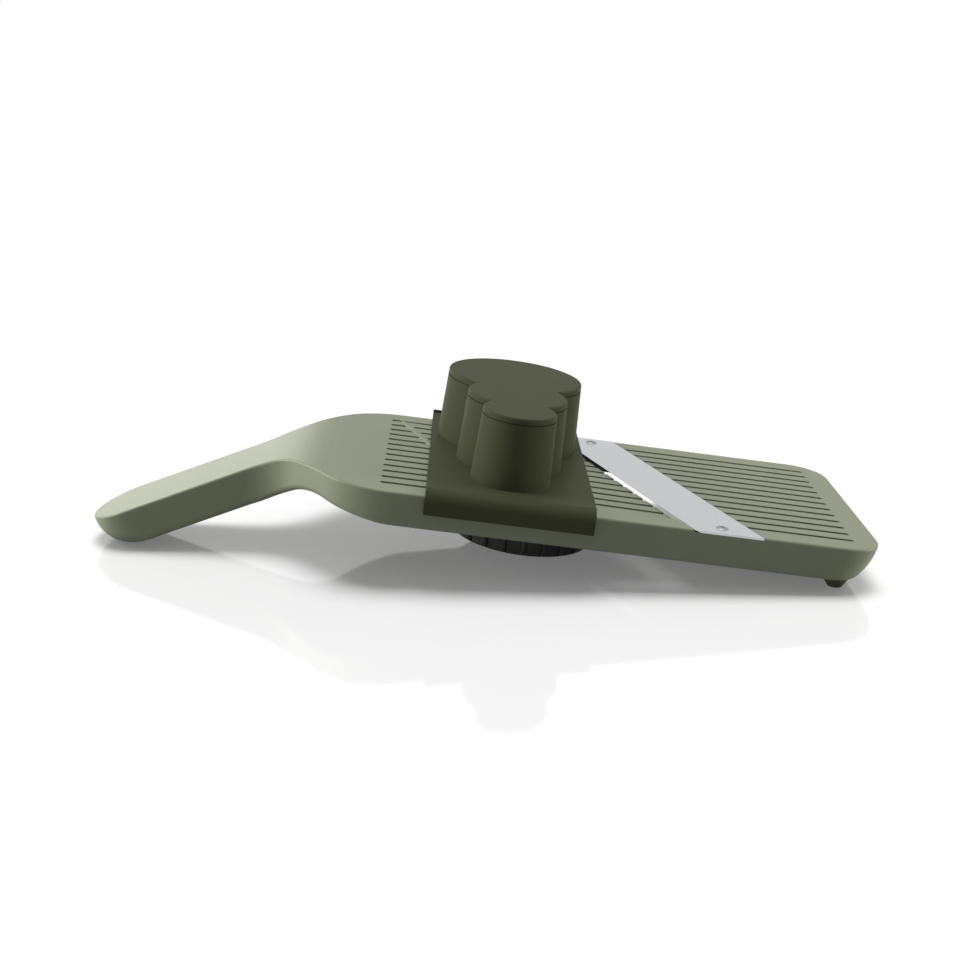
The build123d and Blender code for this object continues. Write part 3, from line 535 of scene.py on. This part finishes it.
    def recessed(self, mesh: bpy.types.Mesh) -> bpy.types.Mesh:
        """Cuts the cross recess of the driver into a screw's head.

        Args:
            mesh: The turned screw.

        Returns:
            The screw with its recess.
        """
        cutter = bmesh.new()
        reach = self.head_radius_mm * self.recess_share
        for quarter in (0, 1):
            bar = bmesh.ops.create_cube(cutter, size=1.0)["verts"]
            size = Vector((2 * reach, self.recess_width_mm, 2 * self.recess_depth_mm)) * MM
            bmesh.ops.scale(cutter, verts=bar, vec=size)
            lower = [vert for vert in bar if vert.co.z < 0]
            bmesh.ops.scale(cutter, verts=lower, vec=self.recess_taper)
            turn = Matrix.Rotation(math.radians(90 * quarter), 3, "Z")
            bmesh.ops.rotate(cutter, verts=bar, cent=(0.0, 0.0, 0.0), matrix=turn)
        cross = bpy.data.meshes.new("cross")
        cutter.to_mesh(cross)
        cutter.free()
        tool = bpy.data.objects.new("cross", cross)
        blank = bpy.data.objects.new("blank", mesh)
        for piece in (tool, blank):
            bpy.context.scene.collection.objects.link(piece)
        cut = blank.modifiers.new("recess", "BOOLEAN")
        cut.operation = "DIFFERENCE"
        cut.object = tool
        cut.solver = "EXACT"
        cut.use_self = True
        evaluated = blank.evaluated_get(bpy.context.evaluated_depsgraph_get())
        result = bpy.data.meshes.new_from_object(evaluated)
        for piece in (tool, blank):
            bpy.data.objects.remove(piece)
        bpy.data.meshes.remove(cross)
        return result


@dataclass(frozen=True)
class Housing:
    """The moulded housing with its handle's cover, feet and screws."""

    cover_screws: ScrewSet = ScrewSet(
        node="handle_cover_screws",
        body="housing",
        head_radius_mm=2.4,
        head_height_mm=1.2,
        shank_radius_mm=1.25,
        length_mm=9.0,
    )

    def build(self) -> None:
        """Dresses the housing's plastic and rubber and makes the cover's screws."""
        dress(SAGE_PLASTIC, "body", "handle_cover", "ramp")
        dress(FOOT_RUBBER, "handle_foot", "front_foot_near", "front_foot_far")
        self.cover_screws.build(-tilt_of("handle_cover"), SCREW_STEEL.material())


@dataclass(frozen=True)
class BladeSet:
    """The blade with its screws and the inserts that they turn into."""

    # The heads are as wide as the guard's near rail, which slides past them, lets them be.
    screws: ScrewSet = ScrewSet(
        node="blade_screws",
        body="housing",
        head_radius_mm=2.85,
        head_height_mm=0.85,
        shank_radius_mm=1.25,
        length_mm=7.2,
    )

    def build(self) -> None:
        """Dresses the blade and its inserts and makes the screws."""
        dress(BLADE_STEEL, "blade")
        dress(INSERT_BRASS, "blade_inserts")
        self.screws.build(tilt_of("blade"), SCREW_STEEL.material())


@dataclass(frozen=True)
class ThicknessWorks:
    """The dial, its drum and carrier, and the pins of the ramp."""

    carrier_screws: ScrewSet = ScrewSet(
        node="carrier_screws",
        body="housing",
        head_radius_mm=2.6,
        head_height_mm=1.9,
        shank_radius_mm=1.25,
        length_mm=9.0,
    )
    dial_screw: ScrewSet = ScrewSet(
        node="dial_screw",
        body="dial",
        head_radius_mm=2.9,
        head_height_mm=2.0,
        shank_radius_mm=1.5,
        length_mm=13.0,
    )

    def build(self) -> None:
        """Dresses the works and makes the carrier's screws and the dial's screw."""
        dress(BLACK_PLASTIC, "dial_knob", "dial_cam", "dial_carrier")
        dress(PIN_STEEL, "ramp_hinge_pin", "ramp_follower_pin", "dial_washer")
        upright = tilt_of("blade")
        steel = SCREW_STEEL.material()
        self.carrier_screws.build(-upright, steel)
        self.dial_screw.build(upright, steel)


@dataclass(frozen=True)
class FoodGuard:
    """The sliding guard and the pusher in its tower."""

    screws: ScrewSet = ScrewSet(
        node="pusher_screws",
        body="pusher",
        head_radius_mm=2.6,
        head_height_mm=1.6,
        shank_radius_mm=1.25,
        length_mm=10.0,
    )

    def build(self) -> None:
        """Dresses the guard and the pusher and makes the pusher's screws."""
        sliding = ("guard", "guard_rail_near", "guard_rail_far")
        dress(OLIVE_PLASTIC, *sliding, "pusher_cap", "pusher_plunger")
        dress(PIN_STEEL, "pusher_spikes")
        self.screws.build(-tilt_of("blade"), SCREW_STEEL.material())


class Reach(Enum):
    """What a lamp lights, as Blender's name for the table's link to it."""

    ALL = ""
    SLICER = "EXCLUDE"
    TABLE = "INCLUDE"

    def flag(self, holder: bpy.types.Object, table: bpy.types.Object) -> None:
        """Sets flags round a lamp, so that it lights only what it should.

        Args:
            holder: The lamp's object.
            table: The floor.
        """
        if self is Reach.ALL:
            return
        flagged = bpy.data.collections.new(holder.name + "_flag")
        flagged.objects.link(table)
        flagged.collection_objects[0].light_linking.link_state = self.value
        holder.light_linking.receiver_collection = flagged


@dataclass(frozen=True)
class Softbox:
    """A studio lamp with a rectangular diffuser, which is flagged off the table."""

    name: str
    place: tuple[float, float, float]
    aim: tuple[float, float, float]
    width: float
    height: float
    watts: float

    def build(self, table: bpy.types.Object) -> None:
        """Hangs the lamp, turns it to its aim and flags it.

        Args:
            table: The floor, which it doesn't light.
        """
        lamp = bpy.data.lights.new(self.name, "AREA")
        lamp.shape = "RECTANGLE"
        lamp.size = self.width
        lamp.size_y = self.height
        lamp.energy = self.watts
        holder = bpy.data.objects.new(self.name, lamp)
        holder.visible_camera = False
        Reach.SLICER.flag(holder, table)
        away = Vector(self.place) - Vector(self.aim)
        turn = away.to_track_quat("Z", "Y").to_matrix().to_4x4()
        holder.matrix_world = Matrix.Translation(self.place) @ turn
        bpy.context.scene.collection.objects.link(holder)


@dataclass(frozen=True)
class Sheet:
    """A wide lit cloth far overhead, which gives all that it lights the same even light."""

    name: str
    azimuth_deg: float
    height_deg: float
    spread_deg: float
    strength: float
    reach: Reach = Reach.ALL

    def build(self, table: bpy.types.Object) -> None:
        """Hangs the cloth, turns it to the slicer and flags it.

        Args:
            table: The floor.
        """
        lamp = bpy.data.lights.new(self.name, "SUN")
        lamp.angle = math.radians(self.spread_deg)
        lamp.energy = self.strength
        holder = bpy.data.objects.new(self.name, lamp)
        around, up = math.radians(self.azimuth_deg), math.radians(self.height_deg)
        level = math.cos(up)
        away = Vector((math.cos(around) * level, math.sin(around) * level, math.sin(up)))
        holder.matrix_world = away.to_track_quat("Z", "Y").to_matrix().to_4x4()
        self.reach.flag(holder, table)
        bpy.context.scene.collection.objects.link(holder)


@dataclass
class Studio:
    """A white table with soft lamps, and the camera in front of it."""

    eye: tuple[float, float, float] = (-0.00577, -0.65094, 0.23558)
    yaw_deg: float = 0.74
    dip_deg: float = 17.41
    roll_deg: float = 1.13
    lens_mm: float = 53.25
    sensor_mm: float = 36.0
    floor_half: float = 6.0
    # How pale the floor is for the light that it sends back up, which the slicer's underside gets.
    floor_shade: float = 0.50
    # How much of its white the floor keeps in full shadow.
    floor_glow: float = 0.145
    floor_roughness: float = 0.06
    floor_ior: float = 1.4
    sky_light: float = 0.23

    def build(self) -> None:
        """Sets the camera, the lamps, the floor and the world."""
        self.camera()
        lamps = (
            Sheet("above", 90.0, 82.0, 36.0, 1.48),
            Sheet("above_table", 90.0, 86.0, 24.0, 0.50, Reach.TABLE),
            Softbox("left_side", (-1.00, 0.03, 0.34), (0.0, 0.0, 0.03), 0.5, 0.8, 14.8),
            Softbox("right_side", (0.98, -0.02, 0.27), (0.05, 0.0, 0.03), 0.35, 0.6, 6.5),
            Softbox("back_left", (-0.60, 1.05, 0.30), (-0.12, 0.0, 0.03), 0.8, 0.5, 2.0),
        )
        table = self.floor()
        for lamp in lamps:
            lamp.build(table)
        self.world()
        bpy.context.scene.view_settings.view_transform = "Standard"

    def camera(self) -> None:
        """Places the camera from its yaw, dip and roll."""
        yaw, dip, roll = (math.radians(a) for a in (self.yaw_deg, self.dip_deg, self.roll_deg))
        forward = math.cos(dip)
        ahead = Vector((math.sin(yaw) * forward, math.cos(yaw) * forward, -math.sin(dip)))
        level = Vector((math.cos(yaw), -math.sin(yaw), 0.0))
        up = level.cross(ahead)
        right = level * math.cos(roll) + up * math.sin(roll)
        top = up * math.cos(roll) - level * math.sin(roll)
        turn = Matrix((right, top, -ahead)).transposed().to_4x4()
        lens = bpy.data.cameras.new("studio_camera")
        lens.lens = self.lens_mm
        lens.sensor_width = self.sensor_mm
        lens.clip_start = 0.01
        holder = bpy.data.objects.new("studio_camera", lens)
        holder.matrix_world = Matrix.Translation(self.eye) @ turn
        bpy.context.scene.collection.objects.link(holder)
        bpy.context.scene.camera = holder

    def floor(self) -> bpy.types.Object:
        """Lays the white floor under the feet.

        Returns:
            The floor.
        """
        work = bmesh.new()
        bmesh.ops.create_grid(work, x_segments=1, y_segments=1, size=self.floor_half)
        mesh = bpy.data.meshes.new("studio_floor")
        work.to_mesh(mesh)
        work.free()
        mesh.materials.append(self.floor_material())
        piece = bpy.data.objects.new("studio_floor", mesh)
        bpy.context.scene.collection.objects.link(piece)
        return piece

    def seen(self, tree: bpy.types.NodeTree) -> bpy.types.NodeSocket:
        """Returns a value that is 1 for rays that see a thing, mirrored or through glass too."""
        path = add_node(tree, "ShaderNodeLightPath").outputs
        value = path["Is Camera Ray"]
        for kind in ("Is Glossy Ray", "Is Transmission Ray"):
            either = add_node(
                tree, "ShaderNodeMath", {0: value, 1: path[kind]}, operation="MAXIMUM"
            )
            value = either.outputs[0]
        return value

    def floor_material(self) -> bpy.types.Material:
        """Makes white acrylic sheet, which takes the shadow and mirrors a little."""
        material, tree = blank_material("white_acrylic")
        seen = self.seen(tree)
        shade = self.floor_shade
        tint = add_node(
            tree,
            "ShaderNodeMix",
            {MIX_SHARE: seen, MIX_FIRST: (shade, shade, shade, 1.0), MIX_SECOND: WHITE},
            data_type="RGBA",
        )
        sheet = add_node(
            tree,
            "ShaderNodeBsdfPrincipled",
            {
                "Base Color": tint.outputs[2],
                "Roughness": self.floor_roughness,
                "IOR": self.floor_ior,
            },
        )
        lift = add_node(tree, "ShaderNodeMath", {0: seen, 1: self.floor_glow}, operation="MULTIPLY")
        glow = add_node(tree, "ShaderNodeEmission", {"Strength": lift.outputs[0]})
        both = add_node(tree, "ShaderNodeAddShader", {0: sheet.outputs[0], 1: glow.outputs[0]})
        close_material(tree, both)
        return material

    def world(self) -> None:
        """Makes a sky that looks white and lights the object softly."""
        world = bpy.data.worlds.new("studio_world")
        world.use_nodes = True
        tree = world.node_tree
        tree.nodes.clear()
        level = add_node(
            tree,
            "ShaderNodeMapRange",
            {"Value": self.seen(tree), "To Min": self.sky_light, "To Max": 1.0},
        )
        sky = add_node(tree, "ShaderNodeBackground", {"Strength": level.outputs[0]})
        sky.inputs["Color"].default_value = WHITE
        add_node(tree, "ShaderNodeOutputWorld", {"Surface": sky.outputs[0]})
        bpy.context.scene.world = world


def main() -> None:
    """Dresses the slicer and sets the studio."""
    logging.basicConfig(level=logging.INFO, format="%(name)s: %(message)s")
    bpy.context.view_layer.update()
    for assembly in (Housing(), BladeSet(), ThicknessWorks(), FoodGuard()):
        assembly.build()
    Studio().build()


if __name__ == "__main__":
    main()
